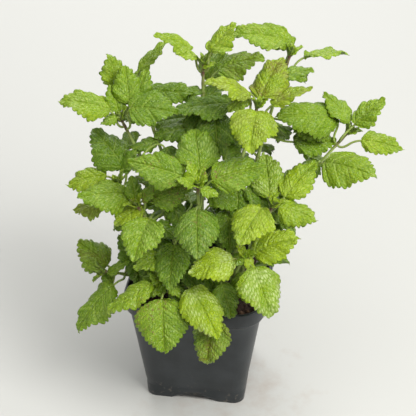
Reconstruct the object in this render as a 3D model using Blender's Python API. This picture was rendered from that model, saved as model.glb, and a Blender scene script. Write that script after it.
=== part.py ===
"""Potted lemon balm: a square nursery pot of soil with thirteen leafy shoots.

Lengths in the tables are millimetres and angles are degrees. The plant is laid out about the
pot's axis with heights counted from the soil surface; place() then scales it to the driving
dimensions and lifts it onto the soil. +Z is up. The last step moves everything so that the
origin is the middle of the bottom of the whole object's box.
"""
import math

import bmesh
import bpy
from mathutils import Matrix, Vector

# Driving dimensions
RIM_WIDTH = 100.0        # across the collar; the plant's spread follows it
POT_HEIGHT = 92.0        # floor to the top of the rim
PLANT_HEIGHT = 190.0     # soil to the topmost leaf, about
HEADSPACE = 10.0         # from the soil up to the rim
WALL = 1.2               # pot wall
STEM_RADIUS = 1.6        # at the soil; a shoot tapers to about half of it
LEAF_THICKNESS = 1.0     # at the midrib; margins come to an edge
CLEARANCE = 0.3          # between any two pieces that fit together

BASE_WIDTH = 72.0        # across the foot
BASE_CORNER = 8.0        # corner radius at the floor
RIM_CORNER = 19.0        # corner radius of the wall at the height of the rim
COLLAR_CORNER = 20.0
COLLAR_HEIGHT = 11.5
COLLAR_STEP = 1.4        # how far the collar stands out from the wall
FOOT_HEIGHT = 10.0       # the nearly upright foot below the taper
FLOOR_LIFT = 4.0         # the floor stands this high between the four feet
ARCH_WIDTH = 31.0
DRAIN_RADIUS = 1.9
DRAIN_OFFSET = 20.0      # from the pot's axis to each drainage hole, along x and along y
ROOT_DEPTH = 8.0         # a stem's buried length

SOIL_Z = POT_HEIGHT - HEADSPACE
SPREAD = RIM_WIDTH / 100.0
RISE = PLANT_HEIGHT / 190.0

# Shoots: where each leaves the soil (x, y), its tip (x, y, z) and the height at which it has
# leaned a third of the way out.
SHOOTS = {
    "a": ((-3, 20), (-3, 30, 160), 80),
    "b": ((11, 7), (37, 6, 143), 80),
    "c": ((20, 18), (54, 48, 162), 85),
    "d": ((25, 7), (97, 35, 112), 55),
    "e": ((26, -10), (51, -13, 78), 40),
    "f": ((1, -8), (3, -34, 103), 55),
    "h": ((-23, 2), (-56, -9, 84), 45),
    "i": ((-14, -10), (-40, -26, 78), 40),
    "k": ((-6, -25), (-17, -46, 31), 16),
    "l": ((-28, -12), (-65, -30, 23), 14),
    "m": ((21, -21), (35, -37, 51), 26),
    "o": ((-16, 12), (-56, 7, 125), 65),
    "p": ((-12, 28), (-53, 37, 138), 75),
}

# Leaves: name (its first letter names the shoot), share of the way up the shoot, where the blade
# starts (x, y, z), then the blade's azimuth, pitch, roll, length, width and droop.
LEAVES = [
    ("a1", 0.95, (-12, 34, 166), -155, 30, -20, 30, 21, 25),
    ("a2", 0.96, (2, 30, 168), 30, 45, 20, 26, 19, 20),
    ("a3", 0.90, (7, 31, 154), 0, 20, 20, 34, 26, 30),
    ("a4", 0.76, (7, 20, 126), -80, -35, 0, 34, 28, 30),
    ("b1", 0.95, (31, 5, 150), -160, 25, -15, 34, 20, 50),
    ("b2", 0.95, (38, 11, 145), 65, 35, 0, 35, 30, 25),
    ("b3", 0.90, (46, 8, 143), 10, 25, 20, 30, 20, 30),
    ("b4", 0.92, (37, -4, 144), -90, -25, 0, 34, 34, 35),
    ("b5", 0.80, (19, 19, 136), -165, -5, -10, 44, 24, 20),
    ("c1", 0.95, (53, 54, 168), -160, 12, -25, 44, 27, 30),
    ("c2", 0.91, (63, 52, 158), 15, 0, -15, 32, 20, 30),
    ("c3", 0.64, (60, 28, 105), 15, -5, 30, 30, 26, 25),
    ("d1", 0.92, (88, 37, 121), -155, 10, -30, 46, 32, 30),
    ("d2", 0.95, (101, 34, 119), 20, 40, 20, 27, 20, 20),
    ("d3", 0.92, (106, 30, 109), 0, -10, 30, 30, 23, 30),
    ("d4", 0.76, (83, 17, 97), -30, 5, 25, 42, 38, 30),
    ("e1", 0.90, (48, -6, 79), 105, 38, 0, 34, 26, 30),
    ("e2", 0.92, (58, -6, 81), 50, 30, 20, 34, 24, 25),
    ("e3", 0.86, (44, -22, 81), -110, -20, 0, 34, 32, 30),
    ("e4", 0.68, (21, -13, 70), -80, -35, 0, 31, 25, 25),
    ("f1", 0.94, (-6, -34, 108), 175, 10, -30, 39, 28, 30),
    ("f2", 0.94, (3, -26, 109), 105, 28, 0, 34, 32, 30),
    ("f3", 0.92, (12, -32, 106), 20, 10, 30, 38, 28, 30),
    ("f4", 0.80, (3, -40, 87), -80, -30, 0, 36, 33, 30),
    ("f5", 0.54, (-12, -40, 58), -90, -45, 0, 32, 26, 25),
    ("h1", 0.94, (-54, 1, 90), 150, 35, -15, 36, 32, 40),
    ("h2", 0.92, (-65, -5, 86), -170, -15, -25, 29, 24, 35),
    ("h3", 0.86, (-47, -18, 81), -155, 5, -25, 36, 29, 30),
    ("h4", 0.74, (-66, -4, 64), 175, -25, -15, 28, 22, 25),
    ("i1", 0.92, (-32, -23, 82), 25, 10, 25, 32, 26, 25),
    ("i2", 0.84, (-29, -38, 75), -100, -25, 0, 34, 31, 30),
    ("k1", 0.86, (-25, -54, 34), -155, -30, -15, 38, 22, 40),
    ("k2", 0.80, (-18, -59, 26), -75, -60, 0, 37, 41, 20),
    ("k3", 0.74, (0, -50, 30), -45, -35, 10, 40, 32, 35),
    ("l1", 0.88, (-63, -24, 24), 165, 30, -25, 27, 27, 30),
    ("l2", 0.70, (-56, -38, 18), -140, -45, 0, 43, 29, 25),
    ("l3", 0.52, (-48, -12, 26), 110, 20, 0, 24, 18, 25),
    ("m1", 0.88, (28, -43, 53), -150, -10, -25, 32, 27, 35),
    ("m2", 0.90, (41, -33, 52), 10, 20, 25, 34, 28, 30),
    ("m3", 0.84, (42, -46, 49), -55, -45, 0, 36, 38, 25),
    ("m4", 0.22, (18, -58, 13), -100, -60, 0, 33, 29, 20),
    ("o1", 0.95, (-63, 5, 132), -165, 15, -25, 36, 27, 35),
    ("o2", 0.93, (-49, 6, 134), -5, 0, 25, 34, 30, 35),
    ("p1", 0.95, (-50, 42, 142), 35, 40, 0, 32, 14, 30),
    ("p2", 0.86, (-43, 30, 133), -10, 10, 25, 36, 27, 25),
]

# The blade's outline: share of its length, share of its half width
OUTLINE = ((0.0, 0.10), (0.07, 0.62), (0.22, 0.95), (0.42, 1.0), (0.62, 0.84), (0.82, 0.50), (0.94, 0.20))
FOLD = 12.0              # each half of a blade rises this much from the midrib
PETIOLE_RADIUS = 0.8
STEM_SIDES = 8


def clear_scene():
    for obj in list(bpy.data.objects):
        bpy.data.objects.remove(obj, do_unlink=True)


def material(name, colour, roughness):
    made = bpy.data.materials.new(name)
    made.use_nodes = True
    shader = made.node_tree.nodes["Principled BSDF"]
    shader.inputs["Base Color"].default_value = (*colour, 1.0)
    shader.inputs["Roughness"].default_value = roughness
    return made


def solid(name, rings, colour, roughness, tip=None):
    """A closed skin over rings of millimetre points. An end gets a flat cap, or a point at tip."""
    shape = bmesh.new()
    loops = [[shape.verts.new(Vector(point) / 1000.0) for point in ring] for ring in rings]
    for below, above in zip(loops, loops[1:]):
        for i in range(len(below)):
            j = (i + 1) % len(below)
            shape.faces.new((below[i], below[j], above[j], above[i]))
    shape.faces.new(loops[0])
    if tip is None:
        shape.faces.new(loops[-1])
    else:
        point = shape.verts.new(Vector(tip) / 1000.0)
        for i in range(len(loops[-1])):
            shape.faces.new((loops[-1][i], loops[-1][(i + 1) % len(loops[-1])], point))
    bmesh.ops.triangulate(shape, faces=shape.faces[:])
    bmesh.ops.recalc_face_normals(shape, faces=shape.faces[:])
    mesh = bpy.data.meshes.new(name)
    shape.to_mesh(mesh)
    shape.free()
    mesh.materials.append(material(name, colour, roughness))
    obj = bpy.data.objects.new(name, mesh)
    bpy.context.scene.collection.objects.link(obj)
    return obj


def cut(target, cutter):
    """Takes the cutter out of the target and hides it."""
    cutter.hide_render = True
    cutter.display_type = "WIRE"
    boolean = target.modifiers.new("cut " + cutter.name, "BOOLEAN")
    boolean.operation = "DIFFERENCE"
    boolean.solver = "EXACT"
    boolean.object = cutter


def rounded_square(half, corner, z, steps=5):
    """A square ring with round corners, anticlockwise from above."""
    ring = []
    for quarter in range(4):
        centre = math.radians(45 + 90 * quarter)
        cx = math.copysign(half - corner, math.cos(centre))
        cy = math.copysign(half - corner, math.sin(centre))
        for step in range(steps + 1):
            angle = math.radians(90 * quarter + 90 * step / steps)
            ring.append((cx + corner * math.cos(angle), cy + corner * math.sin(angle), z))
    return ring


def circle(x, y, radius, z, sides):
    return [(x + radius * math.cos(math.tau * i / sides),
             y + radius * math.sin(math.tau * i / sides), z) for i in range(sides)]


def wall_half(z):
    """Half width of the pot's outer wall below the collar."""
    foot = BASE_WIDTH / 2
    top = RIM_WIDTH / 2 - COLLAR_STEP
    if z <= FOOT_HEIGHT:
        return foot + 0.6 * z / FOOT_HEIGHT
    return foot + 0.6 + (top - foot - 0.6) * (z - FOOT_HEIGHT) / (POT_HEIGHT - FOOT_HEIGHT)


def wall_corner(z):
    """Corner radius of the pot's outer wall: tight at the base, wide at the rim."""
    return BASE_CORNER + (RIM_CORNER - BASE_CORNER) * z / POT_HEIGHT


def wall_ring(z, inset):
    return rounded_square(wall_half(z) - inset, wall_corner(z) - inset, z)


def build_pot():
    collar = POT_HEIGHT - COLLAR_HEIGHT
    floor = FLOOR_LIFT + WALL
    half, corner = RIM_WIDTH / 2, COLLAR_CORNER
    rings = [
        wall_ring(FLOOR_LIFT, WALL), wall_ring(0.0, WALL), wall_ring(0.0, 0.0),
        wall_ring(FOOT_HEIGHT, 0.0), wall_ring(collar, 0.0),
        rounded_square(half - 0.5, corner - 0.5, collar + 0.6),
        rounded_square(half, corner, POT_HEIGHT - 0.8),
        rounded_square(half - 0.5, corner - 0.5, POT_HEIGHT),
        rounded_square(half - COLLAR_STEP - WALL, corner - COLLAR_STEP - WALL, POT_HEIGHT),
        wall_ring(collar, WALL), wall_ring(FOOT_HEIGHT, WALL), wall_ring(floor, WALL),
    ]
    pot = solid("pot", rings, (0.035, 0.038, 0.04), 0.45)
    # A low arch through the foot on each side leaves four corner feet.
    reach = RIM_WIDTH
    for name, turned in (("arch_x", False), ("arch_y", True)):
        rings = []
        for end in (-reach, reach):
            ring = []
            for step in range(13):
                across = ARCH_WIDTH * (step / 12 - 0.5)
                ring.append((end, across, (FLOOR_LIFT - 0.4) * math.cos(math.pi * across / ARCH_WIDTH)))
            ring += [(end, ARCH_WIDTH / 2, -4.0), (end, -ARCH_WIDTH / 2, -4.0)]
            rings.append([(y, x, z) for x, y, z in ring] if turned else ring)
        cut(pot, solid(name, rings, (0.5, 0.5, 0.5), 0.5))
    # Drainage holes near the corners of the floor
    for i, (x, y) in enumerate(((1, 1), (-1, 1), (-1, -1), (1, -1))):
        rings = [circle(x * DRAIN_OFFSET, y * DRAIN_OFFSET, DRAIN_RADIUS, z, 16)
                 for z in (FLOOR_LIFT - 1.0, floor + 1.0)]
        cut(pot, solid("drain_%d" % i, rings, (0.5, 0.5, 0.5), 0.5))


def place(point):
    """From plant coordinates to the object's frame."""
    x, y, z = point
    return (x * SPREAD, y * SPREAD, SOIL_Z + z * RISE)


def shoot_point(shoot, share):
    """A point on a shoot's axis: upright at the soil, then leaning out to the tip."""
    (rx, ry), (tx, ty, tz), lean = SHOOTS[shoot]
    start, end = Vector((rx, ry, 1.0)), Vector((tx, ty, tz))
    bend = Vector((rx + (tx - rx) / 3, ry + (ty - ry) / 3, lean))
    return start * (1 - share) ** 2 + bend * 2 * share * (1 - share) + end * share ** 2


def shoot_direction(shoot, share):
    step = 0.01
    return (shoot_point(shoot, share + step) - shoot_point(shoot, share - step)).normalized()


def shoot_radius(share):
    return STEM_RADIUS * (1.0 - 0.45 * share)


def tube_ring(centre, direction, radius, sides=STEM_SIDES):
    across = direction.cross(Vector((0, 1, 0))).normalized()
    along = direction.cross(across)
    return [centre + (across * math.cos(math.tau * i / sides)
                      + along * math.sin(math.tau * i / sides)) * radius for i in range(sides)]


def build_stem(shoot):
    (rx, ry), _, _ = SHOOTS[shoot]
    up = Vector((0, 0, 1))
    rings = [tube_ring(Vector((rx, ry, -ROOT_DEPTH / RISE)), up, STEM_RADIUS),
             tube_ring(Vector((rx, ry, 0.8)), up, STEM_RADIUS)]
    for station in range(1, 10):
        share = station / 9
        rings.append(tube_ring(shoot_point(shoot, share), shoot_direction(shoot, share),
                               shoot_radius(share)))
    rings = [[place(point) for point in ring] for ring in rings]
    solid("stem_" + shoot, rings, (0.30, 0.24, 0.12), 0.5)


def build_soil():
    """The root ball fills the pot inside its wall, with a socket for every stem."""
    inset = WALL + CLEARANCE
    bottom = FLOOR_LIFT + WALL + CLEARANCE
    rings = [wall_ring(z, inset) for z in (bottom, FOOT_HEIGHT, POT_HEIGHT - COLLAR_HEIGHT, SOIL_Z)]
    if SOIL_Z <= POT_HEIGHT - COLLAR_HEIGHT + 1.0:
        rings.pop(2)
    soil = solid("soil", rings, (0.07, 0.035, 0.02), 0.9)
    up = Vector((0, 0, 1))
    for shoot in SHOOTS:
        x, y = SHOOTS[shoot][0]
        radius = (STEM_RADIUS + CLEARANCE) / math.cos(math.pi / STEM_SIDES)
        rings = []
        for z in (-(ROOT_DEPTH + CLEARANCE) / RISE, 4.0):
            rings.append([place(point) for point in tube_ring(Vector((x, y, z)), up, radius)])
        cut(soil, solid("socket_" + shoot, rings, (0.5, 0.5, 0.5), 0.5))


def section(centre, side, normal, half, rise, top, bottom, keel):
    """One leaf cross-section: left margin, top of the midrib, right margin, and a narrow keel."""
    return [
        centre + side * half + normal * rise,
        centre + normal * top,
        centre - side * half + normal * rise,
        centre - side * keel - normal * bottom,
        centre + side * keel - normal * bottom,
    ]


def build_leaf(name, share, base, azimuth, pitch, roll, length, width, droop):
    shoot = name[0]
    a, p, r, bend = (math.radians(v) for v in (azimuth, pitch, roll, droop))
    chord = Vector((math.cos(p) * math.cos(a), math.cos(p) * math.sin(a), math.sin(p)))
    left = Vector((-math.sin(a), math.cos(a), 0.0))
    side = left * math.cos(r) + chord.cross(left) * math.sin(r)
    up = chord.cross(side)
    base = Vector(base)

    def heading(s):
        angle = bend * (0.5 - s)
        return chord * math.cos(angle) + up * math.sin(angle)

    # The petiole leaves the stem square to it and swings round into the midrib.
    axis, along = shoot_point(shoot, share), shoot_direction(shoot, share)
    out = base - axis
    out = (out - along * out.dot(along)).normalized()
    root = axis + out * (shoot_radius(share) + CLEARANCE / min(SPREAD, RISE, 1.0))
    reach = (base - root).length
    near, far = root + out * reach * 0.35, base - heading(0.0) * reach * 0.35
    centres, headings = [], []
    for t in (0.0, 0.3, 0.65):
        u = 1 - t
        centres.append(root * u ** 3 + near * 3 * t * u * u + far * 3 * t * t * u + base * t ** 3)
        headings.append(((near - root) * u * u + (far - near) * 2 * t * u
                         + (base - far) * t * t).normalized())
    sides = [side]
    for direction in reversed(headings):
        turned = sides[0] - direction * sides[0].dot(direction)
        sides.insert(0, turned.normalized())
    sides.pop()
    rings = [section(c, s, h.cross(s), PETIOLE_RADIUS, 0.0, 0.7, 0.7, 0.5)
             for c, h, s in zip(centres, headings, sides)]

    # The blade follows an arc, its halves folded up a little from the midrib.
    fold = math.radians(FOLD)
    point, last = base.copy(), 0.0
    for s, share_out in OUTLINE:
        for step in range(8):
            point = point + heading(last + (s - last) * (step + 0.5) / 8) * length * (s - last) / 8
        last = s
        half = max(width / 2 * share_out, PETIOLE_RADIUS)
        normal = heading(s).cross(side)
        rings.append(section(point, side, normal, half * math.cos(fold), half * math.sin(fold),
                             0.1, LEAF_THICKNESS * (1.0 - 0.5 * s), 0.5 - 0.2 * s))
    tip = point + heading(1.0) * length * (1.0 - last)
    rings = [[place(point) for point in ring] for ring in rings]
    solid("leaf_" + name, rings, (0.16, 0.30, 0.06), 0.45, tip=place(tip))


def centre_on_box():
    """Slides the object sideways until its box is centred on the origin; it stays on z = 0."""
    shown = [obj for obj in bpy.data.objects if not obj.hide_render]
    corners = [vertex.co for obj in shown for vertex in obj.data.vertices]
    middle = [(min(co[i] for co in corners) + max(co[i] for co in corners)) / 2 for i in (0, 1)]
    for obj in bpy.data.objects:
        obj.data.transform(Matrix.Translation((-middle[0], -middle[1], 0.0)))


clear_scene()
build_pot()
build_soil()
for shoot in SHOOTS:
    build_stem(shoot)
for row in LEAVES:
    build_leaf(*row)
centre_on_box()
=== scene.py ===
import math

import bpy
import numpy as np
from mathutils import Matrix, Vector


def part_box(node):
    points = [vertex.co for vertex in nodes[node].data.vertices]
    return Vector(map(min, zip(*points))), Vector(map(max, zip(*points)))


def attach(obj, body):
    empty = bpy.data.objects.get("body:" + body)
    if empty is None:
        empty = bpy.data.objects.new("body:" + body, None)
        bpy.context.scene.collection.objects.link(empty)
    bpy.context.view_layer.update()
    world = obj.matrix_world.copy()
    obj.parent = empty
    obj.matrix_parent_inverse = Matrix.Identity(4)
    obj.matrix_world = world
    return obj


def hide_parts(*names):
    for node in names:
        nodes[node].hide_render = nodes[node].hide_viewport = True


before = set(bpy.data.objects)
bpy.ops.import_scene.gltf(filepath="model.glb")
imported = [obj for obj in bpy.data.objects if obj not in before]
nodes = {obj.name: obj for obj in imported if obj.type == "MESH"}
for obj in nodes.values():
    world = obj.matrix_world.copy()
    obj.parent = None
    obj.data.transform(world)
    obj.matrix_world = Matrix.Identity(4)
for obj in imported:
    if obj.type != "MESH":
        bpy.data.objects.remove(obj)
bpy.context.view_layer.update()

# ---------------------------------------------------------------------------------------------
# Pot: a thin square nursery pot, moulded in black polypropylene with a collar round the rim and
# four corner feet between low arches. Its wall is one skin carried round a rounded square, up
# the outside, over the rim and down the inside.
# ---------------------------------------------------------------------------------------------
pot_low, pot_high = (np.array(corner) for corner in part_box("pot"))
rim_half = (pot_high[0] - pot_low[0]) / 2
pot_middle = np.array([(pot_low[0] + pot_high[0]) / 2, (pot_low[1] + pot_high[1]) / 2, 0.0])
pot_height = pot_high[2]
collar_height = 0.0115
collar_z = pot_height - collar_height
collar_step = 0.0014
foot_z = 0.010
foot_taper = 0.0006
foot_share = 0.72                                              # of the rim's width
base_corner, rim_corner, collar_corner = 0.08, 0.19, 0.20      # radii, as shares of it
arch_height, arch_half = 0.0038, 0.0150
wall = 0.0012
floor_lift = 0.004
floor_fillet = 0.0008


def square_round(half, corner, steps=14):
    """Points of a square with round corners: straight sides joined by quarter circles, with
    even spacing along each side. Returns x and y, anticlockwise from the middle of +X."""
    parts = []
    along = np.linspace(0, 1, 26)[1:-1, None]
    for quarter in range(4):
        turn = np.radians(90 * quarter + np.linspace(0, 90, steps))
        centre = np.radians(45 + 90 * quarter)
        cx, cy = np.sign(np.cos(centre)) * (half - corner), np.sign(np.sin(centre)) * (half - corner)
        arc = np.stack([cx + corner * np.cos(turn), cy + corner * np.sin(turn)], 1)
        ahead = np.array([-math.sin(turn[-1]), math.cos(turn[-1])])
        parts += [arc, arc[-1] + ahead * 2 * (half - corner) * along]
    return np.concatenate(parts)


def new_piece(name, points, quads, caps=(), layers=None, uv=None):
    """A mesh from points, an array of quads and any end caps, each cap a ring of point numbers.
    Every layer is one number per point, stored as an attribute of the mesh."""
    mesh = bpy.data.meshes.new(name)
    sizes = np.concatenate([np.full(len(quads), 4), [len(ring) for ring in caps]]).astype(np.int32)
    corners = np.concatenate([np.asarray(quads).reshape(-1)] + [np.asarray(ring) for ring in caps])
    corners = corners.astype(np.int32)
    mesh.vertices.add(len(points))
    mesh.vertices.foreach_set("co", np.ascontiguousarray(points, np.float32).reshape(-1))
    mesh.loops.add(len(corners))
    mesh.loops.foreach_set("vertex_index", corners)
    mesh.polygons.add(len(sizes))
    mesh.polygons.foreach_set("loop_start", np.concatenate([[0], np.cumsum(sizes)[:-1]]).astype(np.int32))
    mesh.polygons.foreach_set("use_smooth", np.ones(len(sizes), bool))
    mesh.update(calc_edges=True)
    for layer, values in (layers or {}).items():
        mesh.attributes.new(layer, "FLOAT", "POINT").data.foreach_set(
            "value", np.ascontiguousarray(values, np.float32))
    if uv is not None:
        mesh.uv_layers.new(name="flat").data.foreach_set(
            "uv", np.ascontiguousarray(uv[corners], np.float32).reshape(-1))
    piece = bpy.data.objects.new(name, mesh)
    bpy.context.scene.collection.objects.link(piece)
    return piece


def ring_quads(rows, around, first=0):
    """Quads of a skin of closed rings: point j of ring i joins to its neighbours round the ring
    and along it. Rings that run anticlockwise seen from ahead give faces that point outwards."""
    i, j = np.meshgrid(np.arange(rows - 1), np.arange(around), indexing="ij")
    k = (j + 1) % around
    return (np.stack([i * around + j, i * around + k, (i + 1) * around + k, (i + 1) * around + j], -1)
            .reshape(-1, 4) + first)


def pot_wall_half(z):
    """Half the pot's width at a height: nearly upright up to the foot's top, then an even taper
    out to the collar's step."""
    foot, top = rim_half * foot_share, rim_half - collar_step
    return np.where(z <= foot_z, foot + foot_taper * z / foot_z,
                    foot + foot_taper + (top - foot - foot_taper) * (z - foot_z) / (pot_height - foot_z))


def pot_corner(z):
    """The corner's radius at a height: it grows evenly from the base to the rim."""
    return 2 * rim_half * (base_corner + (rim_corner - base_corner) * z / pot_height)


def pot_ring(z, inset):
    """The wall's outline at a height, moved in by inset."""
    return square_round(float(pot_wall_half(z)) - inset, pot_corner(z) - inset)


def at_height(ring, height):
    """Gives an outline its height: one for the whole ring, or one for each of its points."""
    return np.column_stack([ring, np.full(len(ring), height) if np.isscalar(height) else height])


# Outside, from the floor up: height, inset (negative stands proud, as the bead under the
# collar does), and whether the ring follows the arches between the feet
profile = [(floor_lift, 0.0013, 0), (0.0006, wall, 1), (0.0, wall - 0.0003, 1), (0.0, 0.0003, 1),
           (0.0004, 0.0, 1), (0.004, 0.0, 0), (0.0088, 0.0, 0), (0.0098, 0.0001, 0), (0.0106, 0.0002, 0)]
profile += [(z, 0.0, 0) for z in np.linspace(0.014, collar_z - 0.004, 12)]
profile += [(collar_z - 0.0024, 0.0, 0), (collar_z - 0.0018, -0.0008, 0), (collar_z - 0.0011, -0.0008, 0),
            (collar_z - 0.0004, 0.0, 0), (collar_z, 0.0, 0)]
rings = []
for z, inset, arched in profile:
    ring = pot_ring(z, inset)
    height = np.full(len(ring), z)
    if arched:
        across = np.minimum(np.abs(ring[:, 0]), np.abs(ring[:, 1]))
        height += arch_height * np.cos(np.clip(across / arch_half, 0, 1) * math.pi / 2) ** 0.4
    rings.append(at_height(ring, height))
# Collar and lip: height and inset from the rim's own outline
half, corner = rim_half, 2 * rim_half * collar_corner
for z, inset in ((collar_z + 0.0002, 0.0009), (collar_z + 0.0006, 0.0006), (collar_z + 0.0012, 0.0005),
                 (collar_z + 0.0045, 0.0003), (pot_height - 0.0012, 0.0), (pot_height - 0.0004, 0.0001),
                 (pot_height, 0.0005), (pot_height, 0.0018), (pot_height - 0.0004, 0.0024),
                 (pot_height - 0.0012, 0.00255)):
    rings.append(at_height(square_round(half - inset, corner - inset), z))
# Inside, down to the floor
for z in (*np.linspace(collar_z + 0.006, foot_z, 12), floor_lift + wall + floor_fillet):
    rings.append(at_height(pot_ring(z, wall), z))
floor_half = float(pot_wall_half(floor_lift)) - wall - floor_fillet
rings.append(at_height(square_round(floor_half, pot_corner(0) - wall), floor_lift + wall))


def end_caps(rows, around, first=0):
    """The two rings of point numbers that close a skin: its first ring backwards and its last."""
    return [np.arange(around)[::-1] + first, np.arange(around) + first + (rows - 1) * around]


around = len(rings[0])
pot = new_piece("nursery_pot", np.concatenate(rings) + pot_middle, ring_quads(len(rings), around),
                end_caps(len(rings), around))


def start_material(name):
    """A new material with its shader and node tree. The helpers below add to the tree last begun."""
    material = bpy.data.materials.new(name)
    material.use_nodes = True
    return material, material.node_tree.nodes["Principled BSDF"], material.node_tree


def feed(socket, value):
    """Sets a socket to a number or colour, or links another node's output to it."""
    if isinstance(value, bpy.types.NodeSocket):
        tree.links.new(value, socket)
    else:
        socket.default_value = (*value, 1.0) if isinstance(value, tuple) and len(value) == 3 else value


def arithmetic(operation, one, two, clamp=False):
    """One sum on two values, kept between 0 and 1 where clamp is set."""
    node = tree.nodes.new("ShaderNodeMath")
    node.operation = operation
    node.use_clamp = clamp
    feed(node.inputs[0], one)
    feed(node.inputs[1], two)
    return node.outputs["Value"]


def above(value, level, gain):
    """How far a value stands above a level, times a gain, kept between 0 and 1."""
    return arithmetic("MULTIPLY", arithmetic("SUBTRACT", value, level), gain, clamp=True)


def colour_mix(factor, one, two):
    """The first colour at factor 0, the second at 1, and a straight blend between."""
    node = tree.nodes.new("ShaderNodeMix")
    node.data_type = "RGBA"
    for socket, value in (("Factor", factor), ("A", one), ("B", two)):
        feed(node.inputs[socket], value)
    return node.outputs["Result"]


def ramp(amount, *stops):
    """A colour read off a row of (place, colour) stops."""
    node = tree.nodes.new("ShaderNodeValToRGB")
    elements = node.color_ramp.elements
    (elements[0].position, first), *between, (elements[1].position, last) = stops
    elements[0].color, elements[1].color = (*first, 1), (*last, 1)
    for position, colour in between:
        elements.new(position).color = (*colour, 1)
    feed(node.inputs["Fac"], amount)
    return node.outputs["Color"]


def spread(value, start, end, low, high):
    """Carries the span from start to end over to the span from low to high."""
    node = tree.nodes.new("ShaderNodeMapRange")
    for socket, number in (("From Min", start), ("From Max", end), ("To Min", low), ("To Max", high)):
        node.inputs[socket].default_value = number
    feed(node.inputs["Value"], value)
    return node.outputs["Result"]


def relief(height, strength, distance):
    """Bumps on the material last begun, from a height of 0 to 1 that stands for distance metres."""
    node = tree.nodes.new("ShaderNodeBump")
    node.inputs["Strength"].default_value = strength
    node.inputs["Distance"].default_value = distance
    feed(node.inputs["Height"], height)
    feed(shader.inputs["Normal"], node.outputs["Normal"])


# Cloudy specks in the piece's own space: several sizes of soft noise added together, detail of
# them, each half as large as the last and roughness times as strong
cloud = bpy.data.node_groups.new("cloudy_specks", "ShaderNodeTree")
for socket, value in (("Scale", 50.0), ("Detail", 2.0), ("Roughness", 0.5)):
    cloud.interface.new_socket(socket, in_out="INPUT", socket_type="NodeSocketFloat").default_value = value
cloud.interface.new_socket("Amount", in_out="OUTPUT", socket_type="NodeSocketFloat")
way_in, way_out = cloud.nodes.new("NodeGroupInput"), cloud.nodes.new("NodeGroupOutput")
place, specks = cloud.nodes.new("ShaderNodeTexCoord"), cloud.nodes.new("ShaderNodeTexNoise")
cloud.links.new(place.outputs["Object"], specks.inputs["Vector"])
for socket in ("Scale", "Detail", "Roughness"):
    cloud.links.new(way_in.outputs[socket], specks.inputs[socket])
cloud.links.new(specks.outputs["Fac"], way_out.inputs["Amount"])


def cloudy(scale, detail=2.0, roughness=0.5):
    """The cloudy specks with a material's own values, scale of them to a metre."""
    node = tree.nodes.new("ShaderNodeGroup")
    node.node_tree = cloud
    for socket, value in (("Scale", scale), ("Detail", detail), ("Roughness", roughness)):
        node.inputs[socket].default_value = value
    return node.outputs["Amount"]


pot_plastic, shader, tree = start_material("pot_plastic")
dust = cloudy(55.0, 5.0)
plastic = ramp(dust, (0.38, (0.016, 0.020, 0.023)), (0.72, (0.033, 0.039, 0.043)))
# Dry earth splashed on the plastic in small spots, thickest round the feet
place, level = tree.nodes.new("ShaderNodeTexCoord"), tree.nodes.new("ShaderNodeSeparateXYZ")
tree.links.new(place.outputs["Object"], level.inputs["Vector"])
bare = spread(level.outputs["Z"], 0.0, 0.030, 0.56, 0.74)
splash = above(cloudy(260.0, 3.0), bare, 7.0)
feed(shader.inputs["Base Color"], colour_mix(splash, plastic, (0.15, 0.125, 0.10)))
feed(shader.inputs["Roughness"], spread(dust, 0.0, 1.0, 0.24, 0.48))
relief(cloudy(900.0), 0.25, 0.0002)
pot.data.materials.append(pot_plastic)
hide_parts("pot")
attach(pot, "root")

# ---------------------------------------------------------------------------------------------
# Soil: moist peat potting mix that fills the pot to a finger's width below the rim. The root
# ball is one skin with a lumpy top; loose crumbs, bark and a little perlite lie on it.
# ---------------------------------------------------------------------------------------------
soil_low, soil_high = (np.array(corner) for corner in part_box("soil"))
soil_z = soil_high[2]
soil_gap = 0.0003
lump_sizes = (0.0014, 0.0008, 0.0004)
lump_limit = 0.0012
crown = 0.0008                       # how much higher the middle lies than the edge
crumb_count = 900
crumb_size = (0.0005, 0.0015)
crumb_reach = rim_half - 0.0095
chance = np.random.default_rng(7)


def lumps(x, y, waves, seed):
    """Uneven ground: a sum of plane waves of random direction, each weaker as it gets shorter."""
    draw = np.random.default_rng(seed)
    total = np.zeros_like(x)
    for size in waves:
        for _ in range(5):
            angle, phase = draw.uniform(0, math.tau, 2)
            across = x * math.cos(angle) + y * math.sin(angle)
            total += size * np.sin(across * math.tau / (size * 14) + phase)
    return total / 5


shares = np.linspace(1.0, 0.0, 60)[:-1]
outline = pot_ring(soil_z, wall + soil_gap)
top = np.concatenate([outline * share for share in shares])
bumps = lumps(top[:, 0], top[:, 1], lump_sizes, 3)
edge = np.repeat(shares, len(outline))
bumps = (np.clip(bumps, -lump_limit, lump_limit) * np.clip((1 - edge) * 12, 0.3, 1)
         - lump_limit + crown * (1 - edge))
sides = [at_height(pot_ring(z, wall + soil_gap), z) for z in (soil_low[2], foot_z, collar_z)]
points = np.concatenate(sides + [at_height(top, soil_z + bumps)]) + pot_middle
rows, around = len(shares) + len(sides), len(outline)
soil = new_piece("potting_soil", points, ring_quads(rows, around), end_caps(rows, around))

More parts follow.
